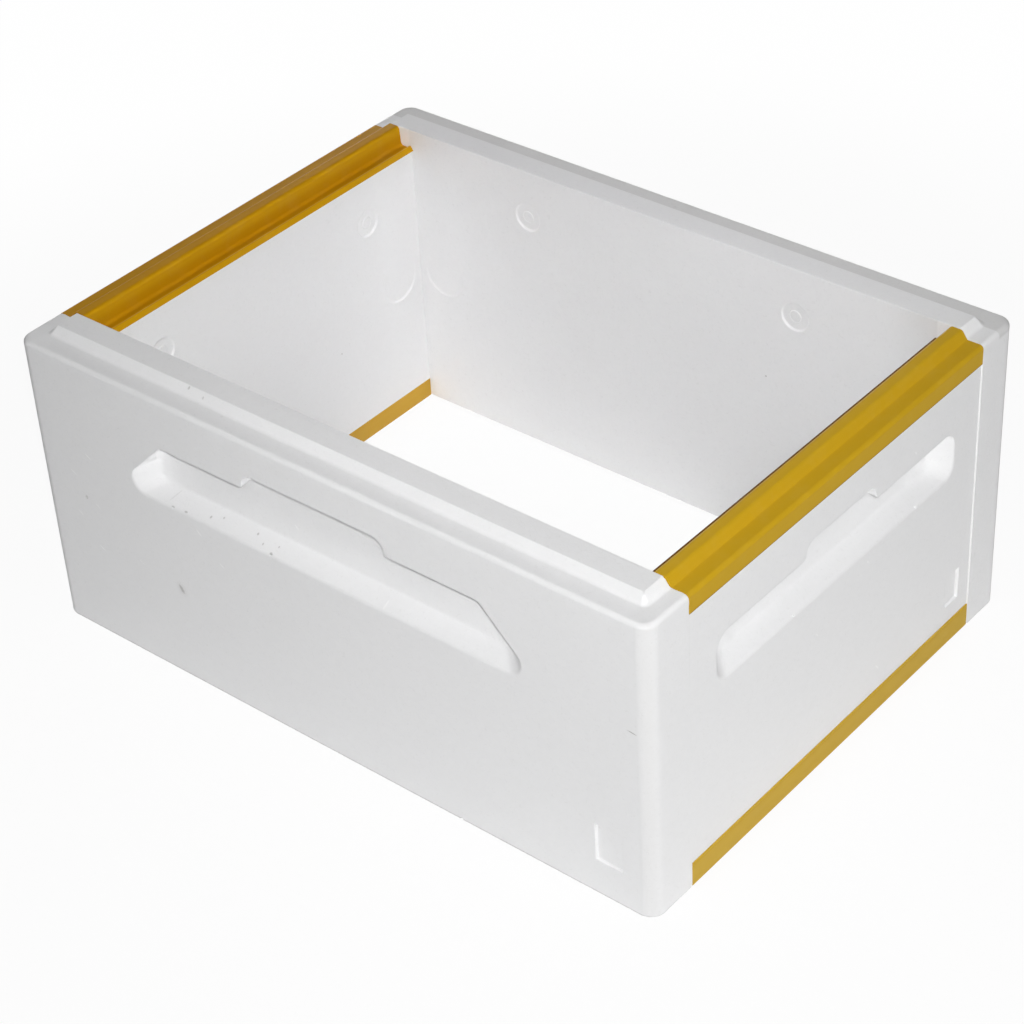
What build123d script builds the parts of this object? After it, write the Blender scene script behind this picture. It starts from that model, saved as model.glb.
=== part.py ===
from build123d import *
import os
from math import radians, tan

# A hive super: an open foam box of four walls, with plastic rails along the two end walls.
# Millimetres. X runs along the long walls, Y from the front wall to the back wall and Z up.
# The origin is the middle of the underside.

# Outside of the box
length = 537.0
width = 405.0
step_height = 234.8  # underside to the outer step, where the edge of the box above ends
rim_rise = 6.2  # raised rim above the outer step
long_wall = 40.0
end_wall = 37.5
corner_round = 10.6
edge_round = 3.5  # top outer edge of the long walls
underside_bevel = 1.8  # inner bottom edge of the long walls

# Raised rim of the long walls, measured in from the outer faces
rim_foot_long = 15.9
rim_run_long = 5.6  # how far the riser leans in on its way up
rim_foot_end = 13.6
rim_run_end = 5.2
rim_foot_corner = 4.5
rim_top_corner = 0.8
rim_cove = 4.0

# Corner joint: a dovetail on the end wall glued into a groove of the long wall
seam_gap = 0.1
end_face_sink = 1.0  # foam of the end walls behind the end faces of the long walls
dovetail_setback = 19.0  # middle of the dovetail from the outer end face
dovetail_root = 12.0
dovetail_flare = 0.16  # widening of each flank for each millimetre of reach
dovetail_reach = 12.0
dovetail_fit = 0.25
dovetail_drop = 30.0  # top of the dovetail below the outer step
glue_thickness = 1.5

# Plastic rails: bent sheet that caps the top and the bottom edge of each end wall
rail_sheet = 1.8
rail_fit = 0.15
rail_end_gap = 0.15
flange_drop = 14.6  # outer flange of the top rail below the outer step
rail_edge_round = 3.0
rail_foot = 12.5  # foot of the top rail's riser from the outer face
rail_run = 4.2
rail_foot_round = 1.0
rail_crest_round = 3.2
rebate_width = 13.0  # cove to lip, the space that takes a frame's lug
rebate_depth = 15.2  # rim down to the ledge of the rebate
cove_lean = 1.0
cove_top_round = 3.0
cove_round = 2.7
lip_overhang = 1.9  # lip past the inner face of the end wall
fin_rise = 1.7  # ridge above the ledge, which carries the lugs
fin_width = 1.2
fin_back_run = 1.8
fin_front_run = 2.4
bottom_band_outer = 18.6
bottom_band_inner = 16.9
bottom_edge_outer = 0.8
bottom_edge_inner = 2.3

# Hand grips: scooped recesses under a stepped ceiling
grip_depth = 14.3
grip_floor_rise = 7.7  # floor climbs this much on its way in
grip_end_run = 16.0  # ends close in this much on their way in
grip_tip_round = 10.4
grip_inner_round = 6.0
grip_soft_edge = 4.0
grip_head_round = 8.6
grip_heel_round = 2.6
scoop_overrun = 6.0  # scoop carried on above the ceiling that trims it
front_grip_drop = 27.2  # raised ceiling below the outer step
front_grip_raise = 11.8
front_grip_height = 46.4
front_grip_half = 138.1
front_grip_lean = 45.0
front_grip_shoulder = 5.5
front_grip_raised_half = 61.3
end_grip_drop = 39.6
end_grip_raise = 11.6
end_grip_height = 36.6
end_grip_half = 133.8
end_grip_lean = 0.0
end_grip_shoulder = 13.0
end_grip_raised_half = 39.1

# Bare moulded plates low on the outer faces
plate_depth = 2.1
plate_draft = 12.0
front_plate_width = 21.5
front_plate_height = 31.0
front_plate_setback = 34.9  # plate's middle from the outer end face
front_plate_middle = 43.8
end_plate_width = 16.8
end_plate_height = 25.7
end_plate_setback = 21.7  # plate's middle from the corner seam
end_plate_middle = 46.0

# Round marks of the mould on the inner faces
mark_depth = 0.9
mark_draft = 55.0
small_mark_radius = 11.6
small_mark_drop = 32.5  # below the outer step
front_mark_offset = 119.2
end_mark_drop = 48.3
end_mark_offset = 108.0
mark_boss_radius = 4.7
mark_boss_height = 0.4
large_mark_radius = 19.0
large_mark_middle = 122.0
front_large_setback = 61.6  # from the outer end face
end_large_setback = 25.3  # from the corner seam

half_length = length / 2
half_width = width / 2
inner_half_length = half_length - end_wall
inner_half_width = half_width - long_wall
rim_top = step_height + rim_rise
end_half = inner_half_width - seam_gap
rail_half = inner_half_width - rail_end_gap
foam_inset = rail_sheet + rail_fit
dovetail_top = step_height - dovetail_drop
dovetail_nose = end_half + dovetail_reach
groove_bottom = dovetail_nose + glue_thickness

flange_bottom = step_height - flange_drop
ledge_height = rim_top - rebate_depth
crown_base = min(flange_bottom, ledge_height) - rebate_depth
lip_face = end_wall + lip_overhang
cove_foot = lip_face - rebate_width + cove_lean
cove_top = cove_foot - cove_lean
rail_crest = rail_foot + rail_run
crest_round = min(rail_crest_round, (cove_top - rail_crest) / 3)
cove_edge_round = min(cove_top_round, (cove_top - rail_crest) / 3)

front_face = Plane(origin=(0, -half_width, 0), x_dir=(1, 0, 0), z_dir=(0, -1, 0))
front_inner_face = Plane(origin=(0, -inner_half_width, 0), x_dir=(-1, 0, 0), z_dir=(0, 1, 0))
end_face = Plane(origin=(half_length - end_face_sink, 0, 0), x_dir=(0, 1, 0), z_dir=(1, 0, 0))
end_inner_face = Plane(origin=(inner_half_length, 0, 0), x_dir=(0, -1, 0), z_dir=(-1, 0, 0))
# Depth in from the outer end face and height, for the sections of the end wall and its rails
end_section = Plane(origin=(half_length, 0, 0), x_dir=(-1, 0, 0), z_dir=(0, 1, 0))


def round_corners(sketch, corners):
    """Rounds the named corners of the sketch that is being drawn."""
    for corner, radius in corners:
        fillet(sketch.vertices().sort_by_distance(corner)[0], radius)


def scoop_outline(plane, floor, tip, slope, head, radius):
    """Outline of the scoop on one plane: its floor, two ends that lean in, and rounded tips."""
    with BuildSketch(plane) as outline:
        with BuildLine():
            shoulder = tip - slope * (head - floor)
            Polyline((-tip, floor), (tip, floor), (shoulder, head), (-shoulder, head), close=True)
        make_face()
        round_corners(outline, [((-tip, floor), radius), ((tip, floor), radius)])
    return outline.sketch


def hand_grip(face, drop, raised, height, half, lean, shoulder, raised_half):
    """Solid to cut from a wall: a scoop with sloping floor and ends under a stepped flat ceiling."""
    ceiling = step_height - drop - raised
    floor = ceiling - height
    slope = tan(radians(lean))
    tip = half + slope * height
    head = ceiling + raised + scoop_overrun
    inner_tip = tip - grip_end_run - slope * grip_floor_rise
    mouth = scoop_outline(face, floor, tip, slope, head, grip_tip_round)
    depths = scoop_outline(
        face.offset(-grip_depth), floor + grip_floor_rise, inner_tip, slope, head, grip_inner_round
    )
    with BuildSketch(face) as ceiling_outline:
        with BuildLine():
            Polyline(
                (-tip, floor),
                (tip, floor),
                (half, ceiling),
                (raised_half, ceiling),
                (raised_half, ceiling + raised),
                (-raised_half, ceiling + raised),
                (-raised_half, ceiling),
                (-half, ceiling),
                close=True,
            )
        make_face()
        for side in (-1, 1):
            round_corners(
                ceiling_outline,
                [
                    ((side * tip, floor), grip_tip_round),
                    ((side * half, ceiling), shoulder),
                    ((side * raised_half, ceiling), grip_heel_round),
                    ((side * raised_half, ceiling + raised), grip_head_round),
                ],
            )
    with BuildPart() as grip:
        loft([mouth, depths], ruled=True)
        back = grip.faces().sort_by(Axis(face.origin, face.z_dir))[0]
        soft = back.edges().filter_by(lambda edge: edge.center().Z < ceiling + raised)
        fillet(soft, grip_soft_edge)
        extrude(ceiling_outline.sketch, amount=-grip_depth, mode=Mode.INTERSECT)
    return grip.part


def rail_crown(inset):
    """Area under the top rail's outer face, drawn in by inset, as depth and height."""
    back = lip_face + rebate_width
    with BuildSketch() as crown:
        with BuildLine():
            Polyline(
                (0, crown_base),
                (0, step_height),
                (rail_foot, step_height),
                (rail_crest, rim_top),
                (cove_top, rim_top),
                (cove_foot, ledge_height),
                (back, ledge_height),
                (back, crown_base),
                close=True,
            )
        make_face()
        round_corners(
            crown,
            [
                ((0, step_height), rail_edge_round),
                ((rail_foot, step_height), rail_foot_round),
                ((rail_crest, rim_top), crest_round),
                ((cove_top, rim_top), cove_edge_round),
                ((cove_foot, ledge_height), cove_round),
            ],
        )
        if inset:
            offset(amount=-inset, mode=Mode.REPLACE)
    return crown.sketch


def dovetail_plan(root, tip, spread):
    """Plan of the dovetail of the back right corner, from y = root to y = tip, widened by spread."""
    middle = half_length - dovetail_setback
    root_half = dovetail_root / 2 + dovetail_flare * (root - end_half) + spread
    tip_half = dovetail_root / 2 + dovetail_flare * (tip - end_half) + spread
    with BuildSketch() as plan:
        with BuildLine():
            Polyline(
                (middle - root_half, root),
                (middle - tip_half, tip),
                (middle + tip_half, tip),
                (middle + root_half, root),
                close=True,
            )
        make_face()
    return plan.sketch


def rim_outline(height, inset_long, inset_end, radius):
    """Plan of the front wall's rim at one height, set in from the outer faces."""
    half = half_length - inset_end
    outer = half_width - inset_long
    with BuildSketch(Plane.XY.offset(height)) as outline:
        with Locations((0, -(outer + inner_half_width) / 2)):
            Rectangle(2 * half, outer - inner_half_width)
        fillet(outline.vertices().group_by(Axis.Y)[0], radius)
    return outline.sketch


def mould_marks(face, offset_small, drop_small, offset_large):
    """Solid to cut from an inner face: two small bossed marks and two large plain ones."""
    small_middle = step_height - drop_small
    small_places = [(-offset_small, small_middle), (offset_small, small_middle)]
    large_places = [(-offset_large, large_mark_middle), (offset_large, large_mark_middle)]
    with BuildPart() as marks:
        with BuildSketch(face):
            with Locations(small_places):
                Circle(small_mark_radius)
        extrude(amount=-mark_depth, taper=mark_draft)
        with BuildSketch(face.offset(-mark_depth)):
            with Locations(small_places):
                Circle(mark_boss_radius)
        extrude(amount=mark_boss_height, mode=Mode.SUBTRACT)
        with BuildSketch(face):
            with Locations(large_places):
                Circle(large_mark_radius)
        extrude(amount=-mark_depth, taper=mark_draft)
    return marks.part


rim_foot = rim_outline(step_height, rim_foot_long, rim_foot_end, rim_foot_corner)
rim_crest = rim_outline(rim_top, rim_foot_long + rim_run_long, rim_foot_end + rim_run_end, rim_top_corner)
front_grip = hand_grip(
    front_face,
    front_grip_drop,
    front_grip_raise,
    front_grip_height,
    front_grip_half,
    front_grip_lean,
    front_grip_shoulder,
    front_grip_raised_half,
)
front_marks = mould_marks(
    front_inner_face, front_mark_offset, small_mark_drop, half_length - front_large_setback
)
groove_plan = dovetail_plan(inner_half_width, groove_bottom, dovetail_fit)

# Long foam walls: slab, raised rim, corner grooves and hand grip
with BuildPart() as front_wall:
    with BuildSketch() as slab_plan:
        with Locations((0, -(half_width + inner_half_width) / 2)):
            Rectangle(length, long_wall)
        fillet(slab_plan.vertices().group_by(Axis.Y)[0], corner_round)
    extrude(amount=step_height)
    top_edges = front_wall.faces().sort_by(Axis.Z)[-1].edges()
    fillet(top_edges.sort_by(Axis.Y)[:-1], edge_round)
    chamfer(front_wall.edges().group_by(Axis.Z)[0].sort_by(Axis.Y)[-1], underside_bevel)
    loft([rim_foot, rim_crest], ruled=True)
    step_edges = front_wall.edges().filter_by_position(Axis.Z, step_height, step_height)
    foot_line = rim_foot.edges().sort_by(Axis.Y)[:-1]
    fillet(
        [step_edges.sort_by_distance(edge.center())[0] for edge in foot_line],
        rim_cove,
    )
    with BuildSketch():
        add(groove_plan, rotation=180)
        mirror(about=Plane.YZ)
    extrude(amount=dovetail_top + dovetail_fit, mode=Mode.SUBTRACT)
    add(front_grip, mode=Mode.SUBTRACT)
    add(front_marks, mode=Mode.SUBTRACT)
    with BuildSketch(front_face):
        with Locations((half_length - front_plate_setback, front_plate_middle)):
            Rectangle(front_plate_width, front_plate_height)
    extrude(amount=-plate_depth, taper=plate_draft, mode=Mode.SUBTRACT)

with BuildPart() as back_wall:
    add(front_wall.part, rotation=(0, 0, 180))

outer_crown = rail_crown(0)
inner_crown = rail_crown(rail_sheet)
foam_crown = rail_crown(foam_inset)
end_grip = hand_grip(
    end_face,
    end_grip_drop,
    end_grip_raise,
    end_grip_height,
    end_grip_half,
    end_grip_lean,
    end_grip_shoulder,
    end_grip_raised_half,
)
end_marks = mould_marks(
    end_inner_face, end_mark_offset, end_mark_drop, inner_half_width - end_large_setback
)
tenon_plan = dovetail_plan(end_half, dovetail_nose, 0)
corner_min = (Align.MIN, Align.MIN)

# Foam end walls: shaped under the rails, with a dovetail at each end
with BuildPart() as right_end_wall:
    with BuildSketch(end_section):
        add(foam_crown)
        with Locations((end_wall, 0)):
            Rectangle(length, 2 * rim_top, align=corner_min, mode=Mode.SUBTRACT)
        Rectangle(end_wall, flange_bottom - rail_fit, align=corner_min)
        Rectangle(end_face_sink, flange_bottom, align=corner_min, mode=Mode.SUBTRACT)
        Rectangle(end_wall, foam_inset, align=corner_min, mode=Mode.SUBTRACT)
        Rectangle(foam_inset, bottom_band_outer + rail_fit, align=corner_min, mode=Mode.SUBTRACT)
        with Locations((end_wall - foam_inset, 0)):
            Rectangle(foam_inset, bottom_band_inner + rail_fit, align=corner_min, mode=Mode.SUBTRACT)
    extrude(amount=end_half, both=True)
    with BuildSketch(Plane.XY.offset(foam_inset)):
        add(tenon_plan)
        mirror(about=Plane.XZ)
    extrude(amount=dovetail_top - foam_inset)
    add(end_grip, mode=Mode.SUBTRACT)
    add(end_marks, mode=Mode.SUBTRACT)
    with BuildSketch(end_face):
        with Locations((inner_half_width - end_plate_setback, end_plate_middle)):
            Rectangle(end_plate_width, end_plate_height)
    extrude(amount=-plate_depth, taper=plate_draft, mode=Mode.SUBTRACT)

with BuildPart() as left_end_wall:
    add(right_end_wall.part, rotation=(0, 0, 180))

# Top rails: flange, step, riser, rim, rebate and the ridge that frame lugs rest on
with BuildPart() as right_top_rail:
    with BuildSketch(end_section):
        lip_bottom = ledge_height - rail_sheet
        fin_front = lip_face - fin_front_run
        fin_back = fin_front - fin_width
        fin_root = fin_back - fin_back_run
        add(outer_crown)
        add(inner_crown, mode=Mode.SUBTRACT)
        Rectangle(length, crown_base + rail_sheet, align=corner_min, mode=Mode.SUBTRACT)
        Rectangle(cove_top, flange_bottom, align=corner_min, mode=Mode.SUBTRACT)
        with Locations((fin_root, 0)):
            Rectangle(length, rim_top, align=corner_min, mode=Mode.SUBTRACT)
        with BuildLine():
            Polyline(
                (fin_root, lip_bottom),
                (fin_root, ledge_height),
                (fin_back, ledge_height + fin_rise),
                (fin_front, ledge_height + fin_rise),
                (lip_face, lip_bottom),
                close=True,
            )
        make_face()
    extrude(amount=rail_half, both=True)

with BuildPart() as left_top_rail:
    add(right_top_rail.part, rotation=(0, 0, 180))

# Bottom rails: channels under the end walls, flush with both faces
with BuildPart() as right_bottom_rail:
    with BuildSketch(end_section) as channel:
        Rectangle(end_wall, bottom_band_outer, align=corner_min)
        with Locations((rail_sheet, rail_sheet)):
            Rectangle(end_wall - 2 * rail_sheet, bottom_band_outer, align=corner_min, mode=Mode.SUBTRACT)
        with Locations((end_wall - rail_sheet, bottom_band_inner)):
            Rectangle(rail_sheet, bottom_band_outer, align=corner_min, mode=Mode.SUBTRACT)
        round_corners(channel, [((0, 0), bottom_edge_outer), ((end_wall, 0), bottom_edge_inner)])
    extrude(amount=rail_half, both=True)

with BuildPart() as left_bottom_rail:
    add(right_bottom_rail.part, rotation=(0, 0, 180))

pieces = {
    "front_wall": front_wall,
    "back_wall": back_wall,
    "left_end_wall": left_end_wall,
    "right_end_wall": right_end_wall,
    "left_top_rail": left_top_rail,
    "right_top_rail": right_top_rail,
    "left_bottom_rail": left_bottom_rail,
    "right_bottom_rail": right_bottom_rail,
}

# Strips of set glue at the bottom of the four corner grooves
with BuildPart() as back_right_glue:
    with BuildSketch(Plane.XY.offset(foam_inset)):
        add(dovetail_plan(dovetail_nose, groove_bottom, 0))
    extrude(amount=dovetail_top - foam_inset)
pieces["back_right_glue"] = back_right_glue

with BuildPart() as back_left_glue:
    mirror(back_right_glue.part, about=Plane.YZ)
pieces["back_left_glue"] = back_left_glue

with BuildPart() as front_right_glue:
    mirror(back_right_glue.part, about=Plane.XZ)
pieces["front_right_glue"] = front_right_glue

with BuildPart() as front_left_glue:
    mirror(back_left_glue.part, about=Plane.XZ)
pieces["front_left_glue"] = front_left_glue

os.makedirs("parts", exist_ok=True)
for name, piece in pieces.items():
    piece.part.label = name
    export_step(piece.part, f"parts/{name}.step")
    print(name, "volume", round(piece.part.volume / 1000, 2), "cm3")
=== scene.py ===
# %% [markdown]
# # A foam hive super
#
# The object is an open box that stands on a beehive and holds a row of hanging combs. Four thick walls of
# moulded polystyrene foam make the box. Yellow plastic rails cap the top and bottom edges of the two end
# walls, and the frames that hold the comb hang on the top ones. The construction model already has every
# piece at its real size and place, so this lesson dresses it: finishes, hand grips that are drawn again
# with softer forms, soft edges, small dents, light and a camera.

# %% Load the construction model
from math import pi, radians, tan

import bmesh
import bpy
from mathutils import Matrix, Vector


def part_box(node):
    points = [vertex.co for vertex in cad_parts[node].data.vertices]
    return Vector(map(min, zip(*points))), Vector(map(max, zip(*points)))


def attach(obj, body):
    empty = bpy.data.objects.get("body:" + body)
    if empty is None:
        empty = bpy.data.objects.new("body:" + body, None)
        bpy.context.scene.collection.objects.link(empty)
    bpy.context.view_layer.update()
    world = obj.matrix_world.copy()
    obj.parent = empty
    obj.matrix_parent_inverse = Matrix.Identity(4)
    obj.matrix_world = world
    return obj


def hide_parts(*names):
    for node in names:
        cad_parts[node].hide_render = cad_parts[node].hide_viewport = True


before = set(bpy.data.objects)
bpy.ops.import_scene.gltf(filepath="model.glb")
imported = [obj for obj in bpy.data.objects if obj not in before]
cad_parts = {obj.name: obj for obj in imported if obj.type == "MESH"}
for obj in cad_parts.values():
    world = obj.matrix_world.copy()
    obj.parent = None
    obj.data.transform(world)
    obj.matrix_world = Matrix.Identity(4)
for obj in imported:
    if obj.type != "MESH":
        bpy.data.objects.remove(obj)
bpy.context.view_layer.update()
MILLIMETRE = 0.001
print("nodes", sorted(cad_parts))

# %% [markdown]
# ## Writing finishes as sums
#
# A finish is a chain of nodes. Adding each node by hand takes many lines that all look alike, so one
# small class holds a node's output and lets it be added, subtracted and multiplied as a number would be.
# Each sign adds the Math node that does it. One method, `add`, makes any other node.

# %% A shader value that works in sums
# A Mix node has sockets for numbers, vectors and colours. These are the ones for colours.
MIX_FIRST = 6
MIX_SECOND = 7
MIX_RESULT = 2


class Tone:
    """One output of a material's nodes. Arithmetic on tones adds the Math nodes that work it out."""

    def __init__(self, tree, socket):
        self.tree = tree
        self.socket = socket

    def add(self, kind, output, settings=None, sockets=None):
        """Makes a node, gives it its settings, fills or links its sockets and returns one output."""
        node = self.tree.nodes.new(kind)
        for name, value in (settings or {}).items():
            setattr(node, name, value)
        for name, value in (sockets or {}).items():
            if isinstance(value, Tone):
                self.tree.links.new(value.socket, node.inputs[name])
            else:
                node.inputs[name].default_value = value
        return Tone(self.tree, node.outputs[output])

    def maths(self, operation, first, second=0.0):
        return self.add("ShaderNodeMath", 0, {"operation": operation}, {0: first, 1: second})

    def __add__(self, other):
        return self.maths("ADD", self, other)

    def __radd__(self, other):
        return self.maths("ADD", other, self)

    def __sub__(self, other):
        return self.maths("SUBTRACT", self, other)

    def __rsub__(self, other):
        return self.maths("SUBTRACT", other, self)

    def __mul__(self, other):
        return self.maths("MULTIPLY", self, other)

    def abs(self):
        return self.maths("ABSOLUTE", self)

    def larger(self, other):
        return self.maths("MAXIMUM", self, other)

    def fade(self, low, high):
        """0 below low, 1 above high, and a soft step between them."""
        sockets = {"Value": self, "From Min": low, "From Max": high}
        return self.add("ShaderNodeMapRange", 0, {"interpolation_type": "SMOOTHSTEP"}, sockets)

    def mix(self, first, second):
        """The first colour where this tone is 0 and the second where it is 1."""
        sockets = {0: self, MIX_FIRST: first, MIX_SECOND: second}
        return self.add("ShaderNodeMix", MIX_RESULT, {"data_type": "RGBA"}, sockets)

    def noise(self, scale, detail=3.0, roughness=0.55):
        """Cloudy noise over this position, about 0.5 on average."""
        sockets = {"Vector": self, "Scale": scale, "Detail": detail, "Roughness": roughness}
        return self.add("ShaderNodeTexNoise", 0, None, sockets)

    def stretched(self, along):
        """This position with its axes drawn together, so that patterns on it come out long."""
        return self.add("ShaderNodeMapping", 0, None, {"Vector": self, "Scale": along})

    def axis(self, number):
        """One part of this position: 0 for x, 1 for y, 2 for z."""
        return self.add("ShaderNodeSeparateXYZ", number, None, {0: self})

    def length(self):
        return self.add("ShaderNodeVectorMath", "Value", {"operation": "LENGTH"}, {0: self})

    def away_from(self, place, reach, turn):
        """Distance from a place, where 1 is the reach. Sizes are in millimetres, the turn in degrees."""
        sockets = {"Vector": self, "Rotation": [radians(angle) for angle in turn]}
        sockets["Location"] = [value * MILLIMETRE for value in place]
        sockets["Scale"] = [value * MILLIMETRE for value in reach]
        return self.add("ShaderNodeMapping", 0, {"vector_type": "TEXTURE"}, sockets).length()


def rgba(red, green, blue):
    """A linear colour as a socket takes it."""
    return (red, green, blue, 1.0)


def new_finish(name):
    """An empty material, with its shader and the position on the piece in metres."""
    material = bpy.data.materials.new(name)
    material.use_nodes = True
    tree = material.node_tree
    shader = tree.nodes["Principled BSDF"]
    position = Tone(tree, None).add("ShaderNodeTexCoord", "Object")
    return material, shader, position


def feed(shader, name, tone):
    """Links a tone to one of the shader's sockets."""
    tone.tree.links.new(tone.socket, shader.inputs[name])


print("finish helpers ready")

# %% [markdown]
# ## The foam
#
# Hive foam is blown polystyrene: beads of two to five millimetres that swell in a mould until they press
# flat against each other. The skin is pale and matt. Close up it shows the faint net of bead edges, with
# a pinhole where beads didn't quite meet, and handling leaves grey rubs. A cell pattern gives each bead
# its own slight tone, and the distance to the cell's edge gives the groove between beads. All of it reads
# the position on the piece, so the bead size is the same on every wall.
#
# A used box also has marks of its own: a smudge, specks of dirt on the floor of a hand grip, short pale
# scuffs where another box slid past. Each is a soft blot at a place that was read off the photograph, or
# chosen for the walls that it doesn't show, with its edge made ragged by noise. One short dark dash is
# painted shade for a small gouge that isn't cut. Painted shade also darkens the upright outer corners, the
# inner corners high up, the ledge outside the back wall's rim, where the rim throws a shadow, and a thin
# line at the foot.

# %% Places of the marks on the foam
STAINS_AND_SHADE = [
    ((-136.4, -202.5, 78.5), (2.2, 6, 5.2), (0, -32, 0), 0.62),
    ((-136.4, -202.5, 78.5), (6, 6, 8), (0, -32, 0), 0.12),
    ((-222.7, -202.5, 120.2), (1.6, 4, 2.4), (0, 0, 0), 0.4),
    ((-133.2, -201.9, 149.7), (2.2, 2, 0.7), (0, 0, 0), 0.5),
    ((-121.5, -201.2, 150.1), (2.0, 2, 0.7), (0, 0, 0), 0.55),
    ((-42.8, -201.3, 150.0), (1.8, 2, 1.0), (0, 0, 0), 0.7),
    ((-101.5, -197.2, 152.2), (1.2, 1.8, 1.2), (0, 0, 0), 0.55),
    ((-92.0, -194.3, 153.8), (1.0, 1.5, 1.2), (0, 0, 0), 0.45),
    ((-61.0, -194.0, 154.0), (1.1, 1.5, 1.2), (0, 0, 0), 0.6),
    ((-52.9, -198.1, 151.8), (0.9, 1.4, 1.2), (0, 0, 0), 0.5),
    ((-40.6, -195.5, 153.2), (0.8, 1.2, 1.1), (0, 0, 0), 0.45),
    ((-137.0, -194.7, 153.8), (0.9, 8, 6), (0, 0, -22), 0.16),
    # A short dark dash: painted shade of a small gouge that isn't cut.
    ((254.8, -202.5, 149.9), (4.4, 3, 0.55), (0, 6, 0), 0.85),
    ((-122.2, -182.4, 239.5), (1.2, 2, 1.5), (0, 0, 0), 0.5),
    ((-108.1, -183.8, 237.9), (1.0, 2, 1.5), (0, 0, 0), 0.4),
    ((95.4, 162.5, 144.3), (0.9, 2, 0.9), (0, 0, 0), 0.7),
    ((-231.0, 66.8, 91.3), (2, 0.9, 1.1), (0, 0, 0), 0.5),
    ((120.0, 202.5, 96.0), (7, 6, 3), (0, 25, 0), 0.35),
    ((-70.0, 202.5, 190.0), (2, 4, 2.6), (0, 0, 0), 0.5),
    ((-266.5, 70.0, 90.0), (5, 3, 6), (30, 0, 0), 0.35),
]
SCUFFS = [
    ((-213.8, -202.5, 158.0), (4.2, 3, 0.9), (0, 32, 0), 0.9),
    ((-232.2, -202.5, 137.7), (4.0, 3, 0.9), (0, 30, 0), 0.8),
    ((-232.4, -202.5, 103.0), (4.0, 3, 0.8), (0, 36, 0), 0.8),
    ((-212.3, -202.5, 116.9), (3.6, 3, 0.8), (0, 32, 0), 0.7),
    ((-214.9, -202.5, 79.0), (4.4, 3, 0.9), (0, 28, 0), 0.8),
    ((-109.9, -202.5, 138.5), (4.0, 3, 0.9), (0, 40, 0), 0.8),
    ((-174.6, -202.5, 84.8), (3.6, 3, 0.8), (0, 32, 0), 0.7),
    ((-91.4, -202.5, 118.9), (3.6, 3, 0.8), (0, 34, 0), 0.7),
    ((-33.2, -187.0, 165.9), (4.0, 5, 0.9), (0, 30, 0), 0.8),
    ((55.5, -198.5, 151.6), (0.9, 6, 4), (0, 0, 0), 0.6),
    ((266.5, 85.0, 192.9), (3, 3.4, 0.9), (-50, 0, 0), 0.9),
    ((266.5, 32.0, 137.1), (3, 3.4, 0.9), (-50, 0, 0), 0.8),
    ((266.5, 48.1, 37.8), (3, 4.0, 1.0), (-50, 0, 0), 0.9),
    ((266.5, -25.7, 114.3), (3, 3.0, 0.8), (-50, 0, 0), 0.7),
    ((60.0, 202.5, 70.0), (6, 3, 1.0), (0, -30, 0), 0.9),
    ((-266.5, -90.0, 120.0), (3, 5, 1.0), (40, 0, 0), 0.9),
]
print("marks on the foam", len(STAINS_AND_SHADE) + len(SCUFFS))

# %% Foam finish
FOAM_PALE = rgba(0.905, 0.905, 0.91)
FOAM_DARK = rgba(0.865, 0.865, 0.87)
GRIME_AND_SHADE_COLOUR = rgba(0.40, 0.39, 0.375)
SCUFF_COLOUR = rgba(0.985, 0.985, 0.985)
BEAD_SIZE = 3.4 * MILLIMETRE
BEAD_RELIEF = 0.05 * MILLIMETRE
BEAD_RANDOMNESS = 0.9
GROOVE_WIDTH = 0.11
# Noise: scale, detail and roughness
WANDER = (1.5 / BEAD_SIZE, 1.0)
FOAM_CLOUDS = (7.0, 4.0)
RUBS = (19.0, 6.0, 0.62)
RAGGED = (900.0, 3.0, 0.7)
SKIN_WAVES = (70.0, 2.0)
# Soft steps: where a tone starts and where it is full
BLOT_EDGE = (0.35, 1.0)
RUB_EDGE = (0.66, 0.86)
WANDER_EDGE = (0.5, 0.8)
LIGHT_SPAN = (-0.05, 0.05)
# Soft steps over places on the box, in metres
OUTER_CORNER_X = (0.256, 0.2675)
OUTER_CORNER_Y = (0.191, 0.2025)
INNER_CORNER_X = (0.19, 0.231)
INNER_CORNER_Y = (0.122, 0.1625)
INNER_CORNER_Z = (0.0, 0.19)
INNER_FACE_X = (0.2318, 0.2335)
INNER_FACE_Y = (0.163, 0.165)
BACK_LEDGE_Y = (0.1815, 0.1825)
BACK_LEDGE_Z = (0.228, 0.231)
FOOT_Z = (0.3 * MILLIMETRE, 1.4 * MILLIMETRE)
# Shares of the tones in the sums
RAGGED_SHARE = 0.9
# Rubs and grooves are grey dirt; corners, inner, ledge and foot are painted shade.
GRIME_AND_SHADE = {"rubs": 0.16, "grooves": 0.10, "corners": 0.27, "inner": 0.13, "ledge": 0.31, "foot": 0.5}
FOAM_LIGHT = {"beads": 0.016, "clouds": 0.03}
FOAM_ROUGHNESS = {"plain": 0.66, "clouds": 0.12, "grooves": 0.1}
FOAM_HEIGHT = {"beads": 0.4, "waves": 1.5}
FOAM_BUMP = 0.5
FOAM_SPECULAR = 0.3


def blots(position, marks, ragged):
    """All marks of one list as one tone, each at its strength, and the strongest where two meet."""
    total = position.axis(0) * 0.0
    for place, reach, turn, strength in marks:
        away = position.away_from(place, reach, turn) + ragged
        total = total.larger((1 - away.fade(*BLOT_EDGE)) * strength)
    return total


def corner_shade(position):
    """1 along the outer upright corners of the box, where painted shade dims their highlight."""
    return position.axis(0).abs().fade(*OUTER_CORNER_X) * position.axis(1).abs().fade(*OUTER_CORNER_Y)


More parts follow.
